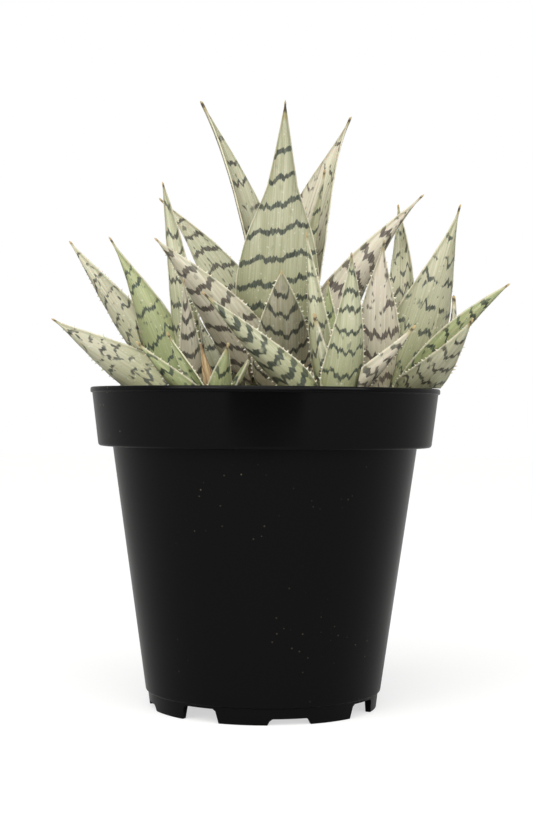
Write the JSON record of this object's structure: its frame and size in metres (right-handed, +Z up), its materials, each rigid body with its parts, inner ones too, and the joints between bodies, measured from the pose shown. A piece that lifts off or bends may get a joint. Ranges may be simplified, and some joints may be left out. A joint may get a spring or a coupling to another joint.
{
  "type": "potted aloe",
  "caption": "Clump of banded, fine-toothed aloe rosettes growing in a round black nursery pot with a deep rim band and a slotted foot.",
  "frame": {"origin": "centre of the pot's foot on the surface it stands on", "axes": "+Z up along the pot's axis, -Y towards the viewer of the picture, +X to the viewer's right"},
  "size_m": [0.1971, 0.15, 0.2647],
  "materials": {
    "pot_black": "satin moulded polypropylene",
    "soil_mix": "loose crumbly peat and bark mix",
    "stem_green": "fleshy, matt",
    "leaf_pale": "waxy, pale grey green with dark jagged bands",
    "leaf_green": "waxy, fresh green with dark jagged bands",
    "leaf_blush": "waxy, cream flushed pinkish brown with dark jagged bands",
    "leaf_dry": "withered, papery"
  },
  "bodies": {
    "root": {"leaf_back_left_low": "leaf_green", "leaf_back_left_mid": "leaf_blush", "leaf_back_left_out": "leaf_pale", "leaf_back_left_right": "leaf_pale", "leaf_back_left_tall": "leaf_pale", "leaf_back_right_low": "leaf_pale", "leaf_back_right_mid": "leaf_pale", "leaf_back_right_out": "leaf_green", "leaf_back_right_tall": "leaf_blush", "leaf_front_back": "leaf_green", "leaf_front_broad": "leaf_pale", "leaf_front_heart": "leaf_pale", "leaf_front_long": "leaf_pale", "leaf_front_narrow": "leaf_pale", "leaf_front_right": "leaf_blush", "leaf_left_back": "leaf_pale", "leaf_left_inner": "leaf_blush", "leaf_left_low": "leaf_pale", "leaf_left_mid": "leaf_green", "leaf_left_rear": "leaf_pale", "leaf_left_red": "leaf_blush", "leaf_left_tall": "leaf_pale", "leaf_main_back_left": "leaf_pale", "leaf_main_back_right": "leaf_pale", "leaf_main_centre": "leaf_pale", "leaf_main_far_left": "leaf_pale", "leaf_main_inner": "leaf_blush", "leaf_main_left": "leaf_blush", "leaf_main_low": "leaf_blush", "leaf_main_rear": "leaf_pale", "leaf_main_rear_left": "leaf_pale", "leaf_main_rear_right": "leaf_pale", "leaf_main_right": "leaf_blush", "leaf_right_broad": "leaf_pale", "leaf_right_curled": "leaf_blush", "leaf_right_front": "leaf_pale", "leaf_right_green": "leaf_green", "leaf_right_rear": "leaf_pale", "leaf_right_tall": "leaf_pale", "leaf_right_upright": "leaf_blush", "leaf_young_channel": "leaf_green", "leaf_young_dry": "leaf_dry", "leaf_young_fold": "leaf_green", "leaf_young_left": "leaf_green", "leaf_young_thin": "leaf_green", "pot": "pot_black", "soil": "soil_mix", "stem_back_left": "stem_green", "stem_back_right": "stem_green", "stem_front": "stem_green", "stem_front_left": "stem_green", "stem_left": "stem_green", "stem_main": "stem_green", "stem_right": "stem_green"}
  },
  "joints": []
}
